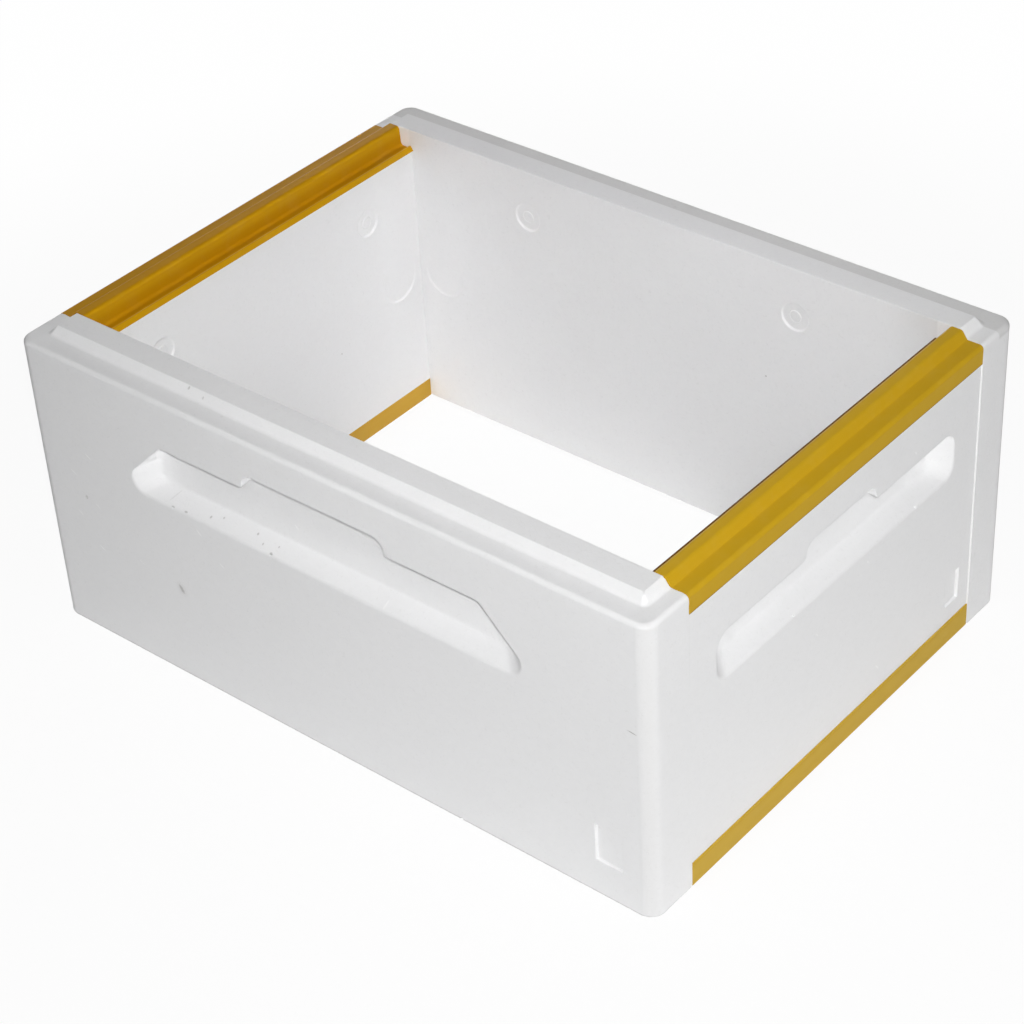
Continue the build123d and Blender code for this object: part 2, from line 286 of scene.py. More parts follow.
def inner_corner_shade(position):
    """1 high up in the upright corners inside the box, fading over a few centimetres: painted shade."""
    x, y = position.axis(0).abs(), position.axis(1).abs()
    inside = (1 - x.fade(*INNER_FACE_X)) * (1 - y.fade(*INNER_FACE_Y))
    near = x.fade(*INNER_CORNER_X) * y.fade(*INNER_CORNER_Y)
    return near * inside * position.axis(2).fade(*INNER_CORNER_Z)


def back_ledge_shadow(position):
    """1 on the ledge outside the back wall's rim, where painted shadow stands for the rim's shadow."""
    return position.axis(1).fade(*BACK_LEDGE_Y) * position.axis(2).fade(*BACK_LEDGE_Z)


def foam_grime_and_shade(position, groove, ragged):
    """How dark the foam is: rubs, grooves and stains, and painted shade on corners, the ledge and the foot.
    """
    rubs = position.noise(*RUBS).fade(*RUB_EDGE)
    grooves = groove * position.noise(*WANDER).fade(*WANDER_EDGE)
    # A thin painted contact shadow along the foot of each wall.
    foot = 1 - position.axis(2).fade(*FOOT_Z)
    # Painted shade: the outer corners, the inner corners, the ledge behind the back rim and the foot.
    rubbed_and_shaded = rubs * GRIME_AND_SHADE["rubs"] + grooves * GRIME_AND_SHADE["grooves"] + corner_shade(position) * GRIME_AND_SHADE["corners"]
    rubbed_and_shaded = rubbed_and_shaded + inner_corner_shade(position) * GRIME_AND_SHADE["inner"] + back_ledge_shadow(position) * GRIME_AND_SHADE["ledge"]
    return rubbed_and_shaded.larger(foot * GRIME_AND_SHADE["foot"]).larger(blots(position, STAINS_AND_SHADE, ragged))


def foam_finish():
    """Pale matt foam with its net of beads, soft clouds of tone, grey rubs, its own marks and painted shade.
    """
    material, shader, position = new_finish("moulded_foam")
    beads = {"Vector": position, "Scale": 1 / BEAD_SIZE, "Randomness": BEAD_RANDOMNESS}
    bead_tone = position.add("ShaderNodeTexVoronoi", "Color", None, beads)
    bead_grey = position.add("ShaderNodeSeparateColor", 0, None, {0: bead_tone})
    border = position.add("ShaderNodeTexVoronoi", 0, {"feature": "DISTANCE_TO_EDGE"}, beads)
    groove = 1 - border.fade(0.0, GROOVE_WIDTH)
    clouds = position.noise(*FOAM_CLOUDS) - 0.5
    ragged = (position.noise(*RAGGED) - 0.5) * RAGGED_SHARE
    light = (bead_grey - 0.5) * FOAM_LIGHT["beads"] + clouds * FOAM_LIGHT["clouds"]
    pale = light.fade(*LIGHT_SPAN).mix(FOAM_DARK, FOAM_PALE)
    scuffed = blots(position, SCUFFS, ragged).mix(pale, SCUFF_COLOUR)
    # Base colour: grime, scuffs and stains, with painted shade on corners, the ledge and the foot.
    feed(shader, "Base Color", foam_grime_and_shade(position, groove, ragged).mix(scuffed, GRIME_AND_SHADE_COLOUR))
    rough = FOAM_ROUGHNESS["plain"] + clouds * FOAM_ROUGHNESS["clouds"]
    feed(shader, "Roughness", rough + groove * FOAM_ROUGHNESS["grooves"])
    waves = position.noise(*SKIN_WAVES) * FOAM_HEIGHT["waves"]
    height = bead_grey * FOAM_HEIGHT["beads"] - groove + waves
    relief = {"Height": height, "Distance": BEAD_RELIEF, "Strength": FOAM_BUMP}
    feed(shader, "Normal", position.add("ShaderNodeBump", 0, None, relief))
    shader.inputs["Specular IOR Level"].default_value = FOAM_SPECULAR
    return material


foam = foam_finish()
print("foam nodes", len(foam.node_tree.nodes))

# %% [markdown]
# ## The plastic rails
#
# The rails are hard yellow plastic, drawn through a die as one long strip. Drawing leaves fine lines that
# run along the rail, and frames that are pushed in and out scratch it. Noise that is squeezed across the
# rail and left long beside it gives both, in the tone and in the gloss. The right rail is painted paler and
# yellower than the left, as painted light, the ridge that the frames slide on gets a painted glint, and the
# bottom rails are dusty. Painted shade darkens the cove behind the ridge and the left rail's rim, and
# painted shadow darkens the right rail's ridge and the cut edge of each flange.

# %% Rail finish
# The left and right rails are one plastic, painted in a shaded colour on the left and a lit one on the right.
RAIL_SHADED_LEFT = rgba(0.57, 0.295, 0.004)
RAIL_LIT_RIGHT = rgba(0.59, 0.36, 0.014)
RAIL_SHADE = rgba(0.45, 0.20, 0.001)
RAIL_GLINT_AND_WEAR = rgba(0.78, 0.60, 0.20)
RAIL_DUST = rgba(0.68, 0.56, 0.24)
# A dark brown for the painted shadows on the rails.
RAIL_SHADOW_COLOUR = rgba(0.11, 0.033, 0.002)
RIDGE_PLACE = 232.1 * MILLIMETRE
RIDGE_WIDTH = 0.5 * MILLIMETRE
RIDGE_CORE = 0.2 * RIDGE_WIDTH
RIDGE_BACK = 235.2 * MILLIMETRE
RIDGE_SHADOW_EDGE = 235.6 * MILLIMETRE
RIDGE_SHADOW_WANDER = 3 * MILLIMETRE
COVE_EDGE = 242.6 * MILLIMETRE
FLANGE_BOTTOM = 220.2 * MILLIMETRE
# Noise: scale, detail and roughness, and its scale on each axis where it runs along the rail
DRAWN_LINES = (420.0, 5.0, 420.0)
LINE_NOISE = (1.0, 3.0)
SCRATCHES = (260.0, 30.0, 260.0)
SCRATCH_NOISE = (1.0, 6.0, 0.7)
RAIL_CLOUDS = (11.0, 4.0)
DUST_NOISE = (45.0, 5.0, 0.7)
# Soft steps over noise, and over places on the box in metres
SCRATCH_EDGE = (0.66, 0.78)
LIT_SIDE_X = (-0.25, 0.25)
COVE_Z = (0.231, 0.237)
RIDGE_Z = (0.2265, 0.2275)
DUST_Z = (0.01, 0.03)
RIGHT_X = (0.2, 0.21)
TOP_RAIL_Z = (0.2, 0.21)
UPPER_HALF_Z = (0.1, 0.2)
FLANGE_SHADOW_Z = (FLANGE_BOTTOM + 0.4 * MILLIMETRE, FLANGE_BOTTOM + 1.1 * MILLIMETRE)
# Shares of the tones in the sums
RAIL_TONE = {"lines": 0.12, "clouds": 0.2}
PAINTED_SHADE = {"cove": 0.7, "left_rim": 0.5}
# The ridge share is a painted glint; the scratches are real wear.
GLINT_AND_WEAR = {"ridge": 0.5, "scratches": 0.12}
DUST = {"bottom": 0.2, "specks": 0.2}
RAIL_SHADOWS = {"ridge_shadow": 0.9, "flange_shadow": 0.55}
RAIL_ROUGHNESS = {"plain": 0.46, "lines": 0.1, "clouds": 0.1, "scratches": 0.2, "dust": 0.5}
RAIL_RELIEF = 0.02 * MILLIMETRE
RAIL_BUMP = 0.4
RAIL_SPECULAR = 0.06


def painted_shade_tone(x, z, clouds):
    """Painted shade on the rails: in the cove behind the ridge and on the left rail's rim."""
    behind_ridge = x.abs().fade(RIDGE_BACK, RIDGE_BACK + MILLIMETRE)
    before_rim = 1 - x.abs().fade(COVE_EDGE, COVE_EDGE + MILLIMETRE)
    cove = behind_ridge * before_rim * (1 - z.fade(*COVE_Z)) * (PAINTED_SHADE["cove"] + clouds)
    left_rim = (1 - x.fade(-COVE_EDGE - MILLIMETRE, -COVE_EDGE)) * (PAINTED_SHADE["left_rim"] + clouds)
    return cove.larger(left_rim)


def rail_shadows(x, z, clouds):
    """Painted shadow: on the right rail's ridge, in the rim's shade, and a thin line on the cut edge of each
    flange.
    """
    before_cove = 1 - (x + clouds * RIDGE_SHADOW_WANDER).fade(RIDGE_SHADOW_EDGE - MILLIMETRE, RIDGE_SHADOW_EDGE)
    ridge_shadow = x.fade(*RIGHT_X) * before_cove * z.fade(*TOP_RAIL_Z)
    # A thin painted shadow line along the cut edge of each top rail's flange.
    flange_shadow = (1 - z.fade(*FLANGE_SHADOW_Z)) * z.fade(*UPPER_HALF_Z)
    return (ridge_shadow * RAIL_SHADOWS["ridge_shadow"]).larger(flange_shadow * RAIL_SHADOWS["flange_shadow"])


def rail_finish():
    """Satin yellow plastic with drawing lines, scuffs and a little dust, and painted light and shade on it.
    """
    material, shader, position = new_finish("yellow_plastic")
    lines = position.stretched(DRAWN_LINES).noise(*LINE_NOISE) - 0.5
    clouds = position.noise(*RAIL_CLOUDS) - 0.5
    scratches = position.stretched(SCRATCHES).noise(*SCRATCH_NOISE).fade(*SCRATCH_EDGE)
    x, z = position.axis(0), position.axis(2)
    # Painted light: the right rail is paler and yellower than the left, with real drawing lines and clouds of
    # tone.
    side = x.fade(*LIT_SIDE_X) + lines * RAIL_TONE["lines"] + clouds * RAIL_TONE["clouds"]
    # Painted shade in the cove behind the ridge and on the left rail's rim.
    body = painted_shade_tone(x, z, clouds).mix(side.mix(RAIL_SHADED_LEFT, RAIL_LIT_RIGHT), RAIL_SHADE)
    from_ridge = (x.abs() - RIDGE_PLACE).abs()
    # Painted glint: a pale line along the top of the ridge that the frames slide on.
    ridge = (1 - from_ridge.fade(RIDGE_CORE, RIDGE_WIDTH)) * z.fade(*RIDGE_Z)
    glint_and_wear = (ridge * (GLINT_AND_WEAR["ridge"] + clouds) + scratches * GLINT_AND_WEAR["scratches"]).mix(body, RAIL_GLINT_AND_WEAR)
    specks = (position.noise(*DUST_NOISE) - 0.5).larger(0.0)
    dust = (1 - z.fade(*DUST_Z)) * DUST["bottom"] + specks * DUST["specks"]
    dusty = dust.mix(glint_and_wear, RAIL_DUST)
    # Painted shadow on the right rail's ridge and along the cut edge of each flange.
    feed(shader, "Base Color", rail_shadows(x, z, clouds).mix(dusty, RAIL_SHADOW_COLOUR))
    rough = RAIL_ROUGHNESS["plain"] + lines * RAIL_ROUGHNESS["lines"] + clouds * RAIL_ROUGHNESS["clouds"]
    rough = rough + scratches * RAIL_ROUGHNESS["scratches"] + dust * RAIL_ROUGHNESS["dust"]
    feed(shader, "Roughness", rough)
    relief = {"Height": lines, "Distance": RAIL_RELIEF, "Strength": RAIL_BUMP}
    feed(shader, "Normal", position.add("ShaderNodeBump", 0, None, relief))
    shader.inputs["Specular IOR Level"].default_value = RAIL_SPECULAR
    return material


yellow = rail_finish()
print("rail nodes", len(yellow.node_tree.nodes))

# %% [markdown]
# ## The glue
#
# The corners are held by glue at the bottom of each dovetail groove. It doesn't show on the whole box,
# but a piece that is taken apart on a bench has a finish too: a cloudy, slightly yellow film with small
# bubbles.

# %% Glue finish
GLUE_CLEAR = rgba(0.72, 0.66, 0.50)
GLUE_CLOUDY = rgba(0.82, 0.79, 0.70)
GLUE_CLOUDS = (60.0, 4.0)
GLUE_EDGE = (0.35, 0.65)
GLUE_ROUGHNESS = {"plain": 0.3, "clouds": 0.25}
BUBBLE_SCALE = 500.0
BUBBLE_WIDTH = 0.5
BUBBLE_RELIEF = 0.1 * MILLIMETRE
BUBBLE_BUMP = 0.4


def glue_finish():
    """Cloudy set glue with small bubbles."""
    material, shader, position = new_finish("set_glue")
    clouds = position.noise(*GLUE_CLOUDS)
    bubbles = position.add("ShaderNodeTexVoronoi", 0, None, {"Vector": position, "Scale": BUBBLE_SCALE})
    feed(shader, "Base Color", clouds.fade(*GLUE_EDGE).mix(GLUE_CLEAR, GLUE_CLOUDY))
    feed(shader, "Roughness", GLUE_ROUGHNESS["plain"] + clouds * GLUE_ROUGHNESS["clouds"])
    height = bubbles.fade(0.0, BUBBLE_WIDTH)
    relief = {"Height": height, "Distance": BUBBLE_RELIEF, "Strength": BUBBLE_BUMP}
    feed(shader, "Normal", position.add("ShaderNodeBump", 0, None, relief))
    return material


glue = glue_finish()
for name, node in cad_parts.items():
    if name.endswith("_glue"):
        node.data.materials.clear()
        node.data.materials.append(glue)
print("glue nodes", len(glue.node_tree.nodes))

# %% [markdown]
# ## Copies that can be shaped
#
# The construction model's meshes are loose triangles, and they stay as they are. Each wall and rail is
# copied. The copy's triangles are merged, and flat neighbours are dissolved into whole faces, because
# only then does an edge run on from one corner to the next, as a bevel needs it.

# %% Merged copies of the walls and rails
FLAT_ANGLE = radians(0.2)
MERGE_DISTANCE = 0.002 * MILLIMETRE


def select_only(piece):
    """Selects one piece alone and makes it the active one."""
    bpy.ops.object.select_all(action="DESELECT")
    piece.select_set(True)
    bpy.context.view_layer.objects.active = piece


def merged_copy(node_name, finish):
    """A merged copy of a construction piece, to be shown in its place."""
    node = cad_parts[node_name]
    piece = bpy.data.objects.new("dressed_" + node_name, node.data.copy())
    bpy.context.collection.objects.link(piece)
    select_only(piece)
    bpy.ops.object.mode_set(mode="EDIT")
    bpy.ops.mesh.select_mode(type="EDGE")
    bpy.ops.mesh.select_all(action="SELECT")
    bpy.ops.mesh.customdata_custom_splitnormals_clear()
    bpy.ops.mesh.remove_doubles(threshold=MERGE_DISTANCE)
    bpy.ops.mesh.dissolve_limited(angle_limit=FLAT_ANGLE)
    bpy.ops.object.mode_set(mode="OBJECT")
    piece.data.materials.clear()
    piece.data.materials.append(finish)
    return piece


LONG_WALLS = ("front_wall", "back_wall")
END_WALLS = ("left_end_wall", "right_end_wall")
RAILS = ("left_top_rail", "right_top_rail", "left_bottom_rail", "right_bottom_rail")
walls = {name: merged_copy(name, foam) for name in LONG_WALLS + END_WALLS}
rails = {name: merged_copy(name, yellow) for name in RAILS}
for name, piece in {**walls, **rails}.items():
    triangles = len(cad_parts[name].data.polygons)
    print(name, triangles, "triangles became", len(piece.data.polygons), "faces")

# %% [markdown]
# ## The scoops of the hand grips
#
# A hand grip is a scoop. Its floor climbs to the back, the back is bowed, and both ends sweep out to the
# face with no hard corner for the fingers. The construction model has the outline, the slopes and the
# depth, but its inside is made of narrow triangles that can't be bent or rounded well. So those faces are
# taken out and the scoop is drawn again from its mouth: the outline is extruded inwards ring by ring, and
# each ring is scaled towards the ceiling, by the slopes that were measured on the construction model. The
# slanted edges run straight in, as a part of the ceiling, and each ring is cut off at its end by a line,
# so the bright end face reaches up to the slanted edge. Only the mouth's own outline stays as it was.

# %% Opening a scoop
ON_PLANE = 0.01 * MILLIMETRE
MOUTH_BOTTOM = 140 * MILLIMETRE
MOUTH_TOP = 214 * MILLIMETRE
END_MOUTH_TOP = 200 * MILLIMETRE
BORDER = 5 * MILLIMETRE
SCOOP_DEEPEST = 16 * MILLIMETRE


def edit_only(piece):
    """Opens one piece in edit mode with nothing selected in it, and returns its mesh."""
    select_only(piece)
    bpy.ops.object.mode_set(mode="EDIT")
    bpy.ops.mesh.select_mode(type="EDGE")
    bpy.ops.mesh.select_all(action="DESELECT")
    return bmesh.from_edit_mesh(piece.data)


def outer_plane(wall_name):
    """The axis across a wall, the axis along it, the place of its outer face and half its length."""
    low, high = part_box(wall_name)
    across, along = (1, 0) if wall_name in LONG_WALLS else (0, 1)
    place = low[across] if abs(low[across]) > abs(high[across]) else high[across]
    return across, along, place, high[along]


def between(corner, along, half, low, high):
    """True for a corner between two heights and away from the wall's ends."""
    return low < corner.co.z < high and abs(corner.co[along]) < half - BORDER


def choose_scoop(piece, across, along, place, half):
    """Selects the faces inside a wall's hand grip and returns the places of their corners."""
    mesh = edit_only(piece)
    bpy.ops.mesh.select_mode(type="FACE")
    top = MOUTH_TOP if across == 1 else END_MOUTH_TOP
    corners = []
    for face in mesh.faces:
        depths = [abs(corner.co[across] - place) for corner in face.verts]
        inside = ON_PLANE < max(depths) < SCOOP_DEEPEST
        if inside and all(between(corner, along, half, MOUTH_BOTTOM, top) for corner in face.verts):
            face.select_set(True)
            corners += [corner.co.copy() for corner in face.verts]
    bmesh.update_edit_mesh(piece.data)
    return corners


print("scoops lie between", MOUTH_BOTTOM, "and", MOUTH_TOP, "m")

# %% Drawing the scoops again, ring by ring
RINGS = 6
SLANT_LENGTH = 8 * MILLIMETRE
SLANT_CUTS = 10


def on_axis(axis, value, rest=0.0):
    """Three numbers that are all alike, apart from the one on the given axis."""
    return [value if number == axis else rest for number in range(3)]


def choose_corners(piece, wanted):
    """Selects the shown corners for which wanted is true."""
    mesh = bmesh.from_edit_mesh(piece.data)
    bpy.ops.mesh.select_all(action="DESELECT")
    for corner in mesh.verts:
        if not corner.hide and wanted(corner):
            corner.select_set(True)
    mesh.select_flush_mode()
    bmesh.update_edit_mesh(piece.data)


def split_slants(piece):
    """Gives the long slanted edges of an open mouth corners of their own."""
    mesh = bmesh.from_edit_mesh(piece.data)
    bpy.ops.mesh.select_all(action="DESELECT")
    for edge in mesh.edges:
        span = edge.verts[0].co - edge.verts[1].co
        if edge.is_boundary and abs(span.z) > SLANT_LENGTH and max(abs(span.x), abs(span.y)) > SLANT_LENGTH:
            edge.select_set(True)
    bmesh.update_edit_mesh(piece.data)
    bpy.ops.mesh.subdivide(number_cuts=SLANT_CUTS)
    bpy.ops.mesh.select_non_manifold(extend=False)
    bpy.ops.mesh.select_mode(type="VERT")


def ring_scoop(piece, across, along, place, half):
    """Replaces the inside of a wall's hand grip by even rings and a back, and returns its sizes."""
    corners = choose_scoop(piece, across, along, place, half)
    depth = max(abs(co[across] - place) for co in corners)
    back = [co for co in corners if abs(co[across] - place) > depth - MILLIMETRE]
    low, top = min(co.z for co in corners), max(co.z for co in corners)
    crease = min(co.z for co in back)
    reach, back_reach = (max(abs(co[along]) for co in group) for group in (corners, back))
    widest = max(co.z for co in corners if abs(co[along]) > reach - ON_PLANE)
    bpy.ops.mesh.delete(type="FACE")
    bpy.ops.mesh.select_mode(type="EDGE")
    split_slants(piece)
    inward = on_axis(across, -depth / RINGS if place > 0 else depth / RINGS)
    centre = on_axis(2, top)
    end, height = reach, 1.0
    for ring in range(1, RINGS + 1):
        end_before, height_before = end, height
        end = reach - (reach - back_reach) * ring / RINGS
        height = 1 - (crease - low) / (top - low) * ring / RINGS
        bpy.ops.mesh.extrude_region_move(TRANSFORM_OT_translate={"value": inward})
        bpy.ops.transform.resize(value=(1.0, 1.0, height / height_before), center_override=centre)
        newest = {corner.index for corner in bmesh.from_edit_mesh(piece.data).verts if corner.select}
        level = top - (top - widest) * height + ON_PLANE
        choose_corners(piece, lambda corner: corner.index in newest and corner.co.z < level)
        bpy.ops.transform.resize(value=on_axis(along, end / end_before, 1.0), center_override=centre)
        for tip in (-end, end):
            choose_corners(piece, lambda corner: corner.index in newest and corner.co[along] / tip > 1)
            bpy.ops.transform.resize(value=on_axis(along, 0.0, 1.0), center_override=on_axis(along, tip))
        choose_corners(piece, lambda corner: corner.index in newest)
    bpy.ops.mesh.edge_face_add()
    bpy.ops.mesh.select_all(action="SELECT")
    bpy.ops.mesh.normals_make_consistent(inside=False)
    bpy.ops.object.mode_set(mode="OBJECT")
    return {"crease": crease, "top": top, "reach": reach, "back_reach": back_reach, "depth": depth}


scoops = {name: ring_scoop(piece, *outer_plane(name)) for name, piece in walls.items()}
for name, scoop in scoops.items():
    sizes = {key: round(value, 4) for key, value in scoop.items()}
    print(name, sizes, "faces", len(walls[name].data.polygons))

# %% [markdown]
# ## Bending and sweeping
#
# With everything else hidden, the back and the floor are cut into a grid. Rows of the back are then
# pushed in step by step, which bows it. A narrow strip on both sides of the crease keeps that crisp, and
# smoothing the grid sweeps its faces together, mostly at the tips. The corners at the mouth, on the first
# ring and on the ceiling hold still.

# %% Sweeping the scoops
GRID = 3 * MILLIMETRE
BACK_STARTS = 9 * MILLIMETRE
LEAN_AT_CREASE = radians(26)
LEAN_LEAST = radians(-1)
BOW = radians(1.2) / MILLIMETRE
CEILING_TURN = 0.3
CREASE_STRIP = 0.7 * MILLIMETRE
SWEEP_SHARE = 0.35
LONG_SWEEPS = 16
END_SWEEPS = 44
END_LENGTH = 34 * MILLIMETRE


def cut_across(axis, level):
    """Cuts the selected faces with a plane across one axis."""
    bpy.ops.mesh.bisect(plane_co=on_axis(axis, level), plane_no=on_axis(axis, 1.0), use_fill=False)


def cut_grid(axis, low, high):
    """Cuts the shown faces across one axis, at even steps."""
    steps = int((high - low) / GRID)
    for step in range(steps + 1):
        bpy.ops.mesh.select_all(action="SELECT")
        cut_across(axis, low + (high - low) * step / steps)


def on_first_ring(corner, across, place):
    """True for the corners at a mouth and for those that one edge joins to it."""
    ring = [corner] + [edge.other_vert(corner) for edge in corner.link_edges]
    return any(abs(other.co[across] - place) < ON_PLANE for other in ring)


def sweep_scoop(piece, scoop, across, along, place, half):
    """Bends the back of a wall's hand grip and sweeps its faces together."""
    sign = 1 if place > 0 else -1
    choose_scoop(piece, across, along, place, half)
    bpy.ops.mesh.hide(unselected=True)
    straight = scoop["reach"] - END_LENGTH
    inner_end = scoop["back_reach"] - GRID
    cut_grid(along, -inner_end, inner_end)
    cut_grid(2, scoop["crease"] + GRID, scoop["top"] - GRID)
    bpy.ops.mesh.select_mode(type="VERT")
    rows = int((scoop["top"] - scoop["crease"]) / GRID)
    for row in range(rows):
        level = scoop["crease"] + GRID * (row + 0.5)
        lean = max(LEAN_LEAST, LEAN_AT_CREASE - BOW * GRID * row)
        push = -GRID * tan(lean) * sign
        choose_corners(
            piece, lambda corner: abs(corner.co[across] - place) > BACK_STARTS and corner.co.z > level
        )
        bpy.ops.transform.translate(value=on_axis(across, push))
    choose_corners(piece, lambda corner: abs(corner.co[across] - place) > scoop["depth"] - ON_PLANE)
    cut_across(2, scoop["crease"] + CREASE_STRIP)
    bpy.ops.mesh.select_all(action="SELECT")
    cut_across(across, place - (scoop["depth"] - CREASE_STRIP) * sign)
    mesh = bmesh.from_edit_mesh(piece.data)
    first_ring = {corner.index for corner in mesh.verts if on_first_ring(corner, across, place)}

    def free(corner):
        on_ceiling = any(abs(face.normal[across]) < CEILING_TURN for face in corner.link_faces)
        return corner.index not in first_ring and not on_ceiling

    choose_corners(piece, free)
    bpy.ops.mesh.vertices_smooth(factor=SWEEP_SHARE, repeat=1)
    choose_corners(piece, lambda corner: free(corner) and abs(corner.co[along]) > straight)
    bpy.ops.mesh.vertices_smooth(factor=SWEEP_SHARE, repeat=LONG_SWEEPS if across == 1 else END_SWEEPS)
    bpy.ops.mesh.reveal(select=False)
    bpy.ops.object.mode_set(mode="OBJECT")


for name, piece in walls.items():
    sweep_scoop(piece, scoops[name], *outer_plane(name))
    print(name, "swept, faces", len(piece.data.polygons))

# %% [markdown]
# ## Soft edges
#
# A construction model has knife-sharp edges, and no moulding has. Beads of foam round every edge by about
# a millimetre, and the mould itself is rounded where a hand goes in. A bevel over the whole mesh would
# give every edge the same width and tear where an edge runs into another at a narrow angle. So edges are
# picked by place, a few at a time, each kind gets its own width, and an edge is left sharp where another
# leaves its end at a narrow angle.

# %% Picking edges and rounding them
NARROW_ANGLE = radians(30)
SHARP_TURN = radians(25)
EDGE_SEGMENTS = 2


def turn_of(edge):
    """How far the surface turns over an edge."""
    return edge.calc_face_angle(0.0)


def is_sharp(edge):
    """True where the surface turns sharply over an edge."""
    return turn_of(edge) > SHARP_TURN


def runs_clear(edge, chosen):
    """True where no other edge leaves the ends of this one at a narrow angle."""
    for corner in edge.verts:
        along = edge.other_vert(corner).co - corner.co
        for other in corner.link_edges:
            if other not in chosen and along.angle(other.other_vert(corner).co - corner.co) < NARROW_ANGLE:
                return False
    return True


def round_edges(piece, wanted, width):
    """Bevels the piece's edges for which wanted is true, and returns how many there were."""
    mesh = edit_only(piece)
    sharp = {edge for edge in mesh.edges if edge.is_manifold and wanted(edge)}
    clear = {edge for edge in sharp if runs_clear(edge, sharp)}
    for edge in clear:
        edge.select_set(True)
    bmesh.update_edit_mesh(piece.data)
    if clear:
        bpy.ops.mesh.bevel(offset=width, segments=EDGE_SEGMENTS, affect="EDGES", clamp_overlap=False)
    bpy.ops.object.mode_set(mode="OBJECT")
    return len(clear)


print("edges that meet at less than", round(NARROW_ANGLE, 2), "radians stay sharp")

# %% [markdown]
# ## The mouths of the hand grips
#
# The lower lip of a hand grip is well rounded and shows as a soft bright line, because it turns through
# every angle to the light. The edge under the ceiling is crisp. A bevel modifier reads a weight from each
# edge, so one bevel can be wide below, narrow above, and change smoothly round the tips. The flat outer
# face has edges that cross it from the mouth to its border, and a bevel would slide along them, so a
# narrow inset strip all round the face keeps them away.

# %% Lips of the hand grips
LIP_STRIP = 2.0 * MILLIMETRE
LIP_WIDTH = 1.7 * MILLIMETRE
LIP_SEGMENTS = 4
CRISP_SHARE = 0.18
UPRIGHT_SHARE = 0.6
SHARE_GAIN = 2.0


def inset_outer_face(piece, across, place):
    """Sets a narrow strip of faces round the border and the openings of the wall's flat outer face."""
    mesh = edit_only(piece)
    bpy.ops.mesh.select_mode(type="FACE")
    for face in mesh.faces:
        face.select_set(all(abs(corner.co[across] - place) < ON_PLANE for corner in face.verts))
    bmesh.update_edit_mesh(piece.data)
    bpy.ops.mesh.inset(thickness=LIP_STRIP, depth=0.0, use_even_offset=True)
    bpy.ops.object.mode_set(mode="OBJECT")


def is_lip(edge, across, along, place, half):
    """True for the edges round the mouth of a wall's hand grip."""
    for corner in edge.verts:
        at_mouth = between(corner, along, half, MOUTH_BOTTOM, MOUTH_TOP)
        if abs(corner.co[across] - place) > ON_PLANE or not at_mouth:
            return False
    return turn_of(edge) > SHARP_TURN / 2


def lip_share(edge, across):
    """The share of the full lip that an edge gets: all of it over the floor, little under the ceiling."""
    inner = min(edge.link_faces, key=lambda face: abs(face.normal[across]))
    return min(1.0, max(CRISP_SHARE, UPRIGHT_SHARE + SHARE_GAIN * inner.normal.z))


def soften_lips(piece, across, along, place, half):
    """Rounds the mouth of a wall's hand grip, each edge by its own share, and returns how many edges."""
    mesh = edit_only(piece)
    weight = mesh.edges.layers.float.new("bevel_weight_edge")
    lips = [edge for edge in mesh.edges if edge.is_manifold and is_lip(edge, across, along, place, half)]
    for edge in lips:
        edge[weight] = lip_share(edge, across)
    bmesh.update_edit_mesh(piece.data)
    bpy.ops.object.mode_set(mode="OBJECT")
    bevel = piece.modifiers.new("lips", "BEVEL")
    bevel.limit_method = "WEIGHT"
    bevel.offset_type = "OFFSET"
    bevel.width = LIP_WIDTH
    bevel.segments = LIP_SEGMENTS
    bevel.use_clamp_overlap = False
    bpy.ops.object.modifier_apply(modifier=bevel.name)
    piece.data.attributes.remove(piece.data.attributes["bevel_weight_edge"])
    return len(lips)


for name, piece in walls.items():
    across, along, place, half = outer_plane(name)
    inset_outer_face(piece, across, place)
    print(name, "lip edges", soften_lips(piece, across, along, place, half))

# %% [markdown]
# ## Mould marks, plates and rims
#
# The inner faces carry shallow round marks where the mould was fed and pushed open, and a bare plate is
# sunk low on each outer face. Their edges are short or small, so their bevels are narrow. The floors of
# the marks are tipped: the large ones run out at the head, and the small ones are sunk a little, so that
# a step stays there. The raised rim, the underside and the seams get a bevel of 0.6 millimetres. The
# edges inside the glued joint are never seen and stay sharp.

# %% Edges of the marks, plates and rims
MARK_BEVEL = 0.45 * MILLIMETRE
PLATE_BEVEL = 0.5 * MILLIMETRE
RIM_BEVEL = 0.6 * MILLIMETRE
MARK_DEPTH = 1.0 * MILLIMETRE
MARK_FLOOR = 0.35 * MILLIMETRE
MARK_BANDS = (
    {"low": 100 * MILLIMETRE, "high": 145 * MILLIMETRE, "tip": 0.45 * MILLIMETRE, "lift": 0.2 * MILLIMETRE},
    {"low": 170 * MILLIMETRE, "high": 216 * MILLIMETRE, "tip": 0.45 * MILLIMETRE, "lift": -0.25 * MILLIMETRE},
)
INSIDE = {1: 230.5 * MILLIMETRE, 0: 162 * MILLIMETRE}
MARK_FACET = 3.2 * MILLIMETRE
PLATE_DEPTH = 2.2 * MILLIMETRE
PLATE_BOTTOM = 22 * MILLIMETRE
PLATE_TOP = 65 * MILLIMETRE
RIM_TURN = radians(40)
JOINT_TOP = 206 * MILLIMETRE
JOINT_NEAR = 28.5 * MILLIMETRE
JOINT_FAR = 9.5 * MILLIMETRE


def mark_edges(across, inner):
    """A test for the short edges that make the round marks on a wall's inner face."""

    def wanted(edge):
        shallow = all(abs(corner.co[across] - inner) < MARK_DEPTH for corner in edge.verts)
        return shallow and edge.calc_length() < MARK_FACET and is_sharp(edge)

    return wanted


